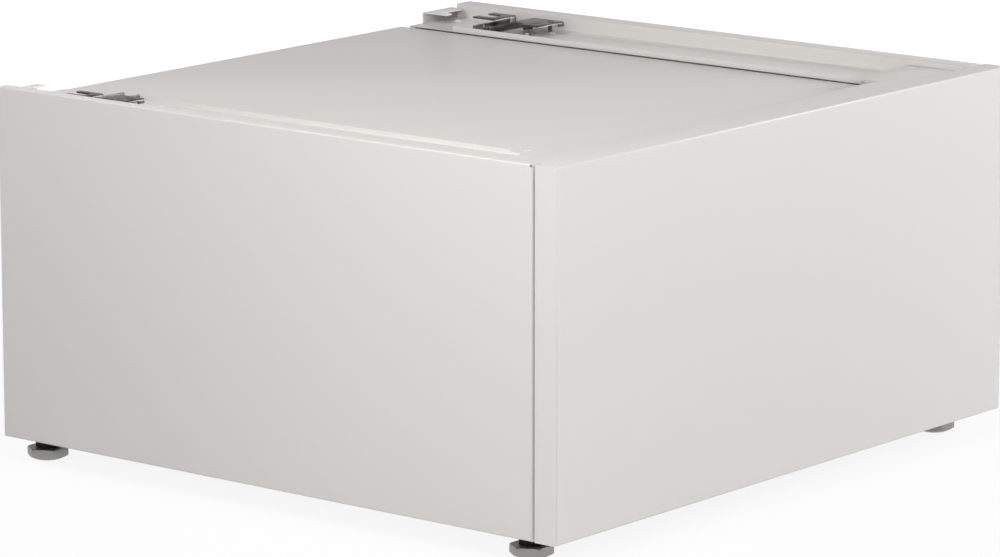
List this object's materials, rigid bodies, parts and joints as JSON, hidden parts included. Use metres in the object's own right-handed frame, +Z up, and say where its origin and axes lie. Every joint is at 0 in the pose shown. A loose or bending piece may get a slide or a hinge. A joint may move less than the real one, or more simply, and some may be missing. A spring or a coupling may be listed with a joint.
{
  "type": "washing machine pedestal with drawer",
  "caption": "Low sheet-steel pedestal on levelling feet with a recessed top plate, foot clamps and a full-extension drawer on ball slides.",
  "frame": {"origin": "centre of the footprint, on the floor", "axes": "+Z up, the drawer opens towards -Y, +X to the right seen from the front, where the side panel is"},
  "size_m": [0.597, 0.618, 0.32],
  "materials": {
    "lacquer": "satin off-white lacquer",
    "zinc_steel": "zinc plated",
    "dark_steel": "dark spring steel",
    "black_steel": "black oxide",
    "cast_zinc": "cast zinc, not polished",
    "rubber": "matte"
  },
  "bodies": {
    "cabinet": {"side_panel": "lacquer", "left_wall": "lacquer", "right_wall": "lacquer", "top_plate": "lacquer", "front_channel": "lacquer", "rear_panel": "lacquer", "plate_stiffener_front": "zinc_steel", "plate_stiffener_rear": "zinc_steel", "base_rail_front": "zinc_steel", "base_rail_rear": "zinc_steel", "corner_bracket_front_left": "zinc_steel", "corner_bracket_front_right": "zinc_steel", "corner_bracket_rear_left": "zinc_steel", "corner_bracket_rear_right": "zinc_steel", "lock_nut_front_left": "black_steel", "lock_nut_front_right": "black_steel", "lock_nut_rear_left": "black_steel", "lock_nut_rear_right": "black_steel", "slide_bracket_left": "zinc_steel", "slide_bracket_right": "zinc_steel", "slide_outer_left": "zinc_steel", "slide_outer_right": "zinc_steel"},
    "drawer": {"drawer_front": "lacquer", "drawer_liner": "lacquer", "drawer_side_left": "lacquer", "drawer_side_right": "lacquer", "drawer_bottom": "lacquer", "drawer_back": "lacquer", "front_screw_1": "zinc_steel", "front_screw_2": "zinc_steel", "front_screw_3": "zinc_steel", "front_screw_4": "zinc_steel", "bumper_left": "rubber", "bumper_right": "rubber", "slide_inner_left": "zinc_steel", "slide_inner_right": "zinc_steel"},
    "slide_middle_left": {"slide_middle_left": "zinc_steel"},
    "slide_middle_right": {"slide_middle_right": "zinc_steel"},
    "ball_cage_outer_left": {"ball_cage_outer_left": "zinc_steel"},
    "ball_cage_outer_right": {"ball_cage_outer_right": "zinc_steel"},
    "ball_cage_inner_left": {"ball_cage_inner_left": "zinc_steel"},
    "ball_cage_inner_right": {"ball_cage_inner_right": "zinc_steel"},
    "clamp_front": {"clamp_fork_front": "dark_steel", "clamp_cover_front": "dark_steel", "clamp_spring_front": "dark_steel", "clamp_stud_front": "dark_steel"},
    "clamp_rear": {"clamp_fork_rear": "dark_steel", "clamp_cover_rear": "dark_steel", "clamp_spring_rear": "dark_steel", "clamp_stud_rear": "dark_steel"},
    "foot_front_left": {"foot_front_left": "cast_zinc", "foot_stud_front_left": "zinc_steel"},
    "foot_front_right": {"foot_front_right": "cast_zinc", "foot_stud_front_right": "zinc_steel"},
    "foot_rear_left": {"foot_rear_left": "cast_zinc", "foot_stud_rear_left": "zinc_steel"},
    "foot_rear_right": {"foot_rear_right": "cast_zinc", "foot_stud_rear_right": "zinc_steel"}
  },
  "joints": [
    {"name": "drawer_slide", "type": "slide", "parent": "cabinet", "child": "drawer", "axis": [0, -1, 0], "range_m": [0, 0.5]},
    {"name": "slide_middle_left", "type": "slide", "parent": "cabinet", "child": "slide_middle_left", "axis": [0, -1, 0], "range_m": [0, 0.25]},
    {"name": "slide_middle_right", "type": "slide", "parent": "cabinet", "child": "slide_middle_right", "axis": [0, -1, 0], "range_m": [0, 0.25]},
    {"name": "cage_outer_left", "type": "slide", "parent": "cabinet", "child": "ball_cage_outer_left", "axis": [0, -1, 0], "range_m": [0, 0.125]},
    {"name": "cage_outer_right", "type": "slide", "parent": "cabinet", "child": "ball_cage_outer_right", "axis": [0, -1, 0], "range_m": [0, 0.125]},
    {"name": "cage_inner_left", "type": "slide", "parent": "cabinet", "child": "ball_cage_inner_left", "axis": [0, -1, 0], "range_m": [0, 0.375]},
    {"name": "cage_inner_right", "type": "slide", "parent": "cabinet", "child": "ball_cage_inner_right", "axis": [0, -1, 0], "range_m": [0, 0.375]},
    {"name": "clamp_front_slide", "type": "slide", "parent": "cabinet", "child": "clamp_front", "axis": [1, 0, 0], "range_m": [-0.01, 0.01]},
    {"name": "clamp_rear_slide", "type": "slide", "parent": "cabinet", "child": "clamp_rear", "axis": [1, 0, 0], "range_m": [-0.01, 0.01]},
    {"name": "foot_front_left_screw", "type": "slide", "parent": "cabinet", "child": "foot_front_left", "axis": [0, 0, -1], "range_m": [0, 0.015]},
    {"name": "foot_front_right_screw", "type": "slide", "parent": "cabinet", "child": "foot_front_right", "axis": [0, 0, -1], "range_m": [0, 0.015]},
    {"name": "foot_rear_left_screw", "type": "slide", "parent": "cabinet", "child": "foot_rear_left", "axis": [0, 0, -1], "range_m": [0, 0.015]},
    {"name": "foot_rear_right_screw", "type": "slide", "parent": "cabinet", "child": "foot_rear_right", "axis": [0, 0, -1], "range_m": [0, 0.015]}
  ],
  "couplings": [
    {"joint": "slide_middle_left", "follows": "drawer_slide", "ratio": 0.5},
    {"joint": "slide_middle_right", "follows": "drawer_slide", "ratio": 0.5},
    {"joint": "cage_outer_left", "follows": "drawer_slide", "ratio": 0.25},
    {"joint": "cage_outer_right", "follows": "drawer_slide", "ratio": 0.25},
    {"joint": "cage_inner_left", "follows": "drawer_slide", "ratio": 0.75},
    {"joint": "cage_inner_right", "follows": "drawer_slide", "ratio": 0.75}
  ]
}
